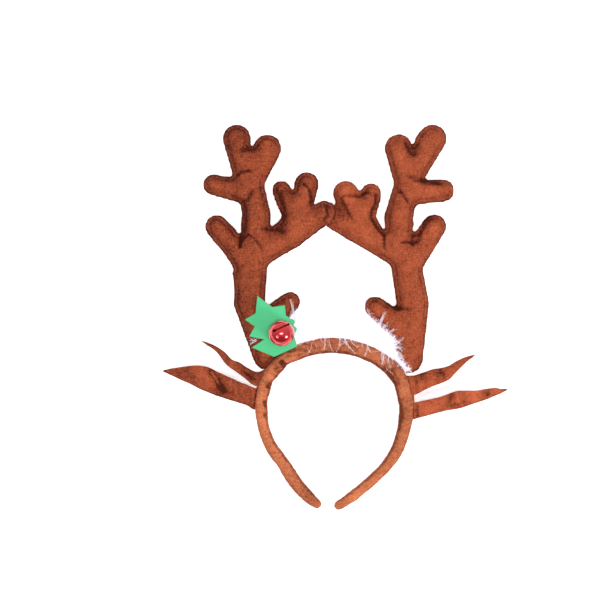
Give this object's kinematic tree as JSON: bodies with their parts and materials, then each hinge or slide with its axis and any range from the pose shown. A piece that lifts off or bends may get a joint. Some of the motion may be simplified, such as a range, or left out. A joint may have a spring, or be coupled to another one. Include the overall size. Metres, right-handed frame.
{
  "type": "reindeer antler headband",
  "caption": "Padded plush headband with stuffed antlers, folded lined ears, a holly leaf with a jingle bell, and a marabou trim along the crown.",
  "frame": {"origin": "middle of the bottom of the whole headband's box, on the surface that it lies on", "axes": "+Z out of the front of the headband, +Y up the antlers, +X to the right as the front is seen"},
  "size_m": [0.2764, 0.3038, 0.0366],
  "materials": {
    "band_plush": "short brushed pile",
    "antler_plush": "short brushed pile",
    "ear_plush": "short brushed pile",
    "ear_lining": "smooth white fleece",
    "leaf_foam": "matt foam sheet",
    "bell_metal": "glossy lacquer",
    "pea_steel": "plain",
    "white_down": "loose down"
  },
  "bodies": {
    "root": {"headband": "band_plush", "antler_left": "antler_plush", "antler_right": "antler_plush", "ear_left_outer": "ear_plush", "ear_right_outer": "ear_plush", "ear_left_lining": "ear_lining", "ear_right_lining": "ear_lining", "holly_leaf": "leaf_foam", "jingle_bell": "bell_metal", "bell_pea": "pea_steel", "fur_trim": "white_down"}
  },
  "joints": []
}
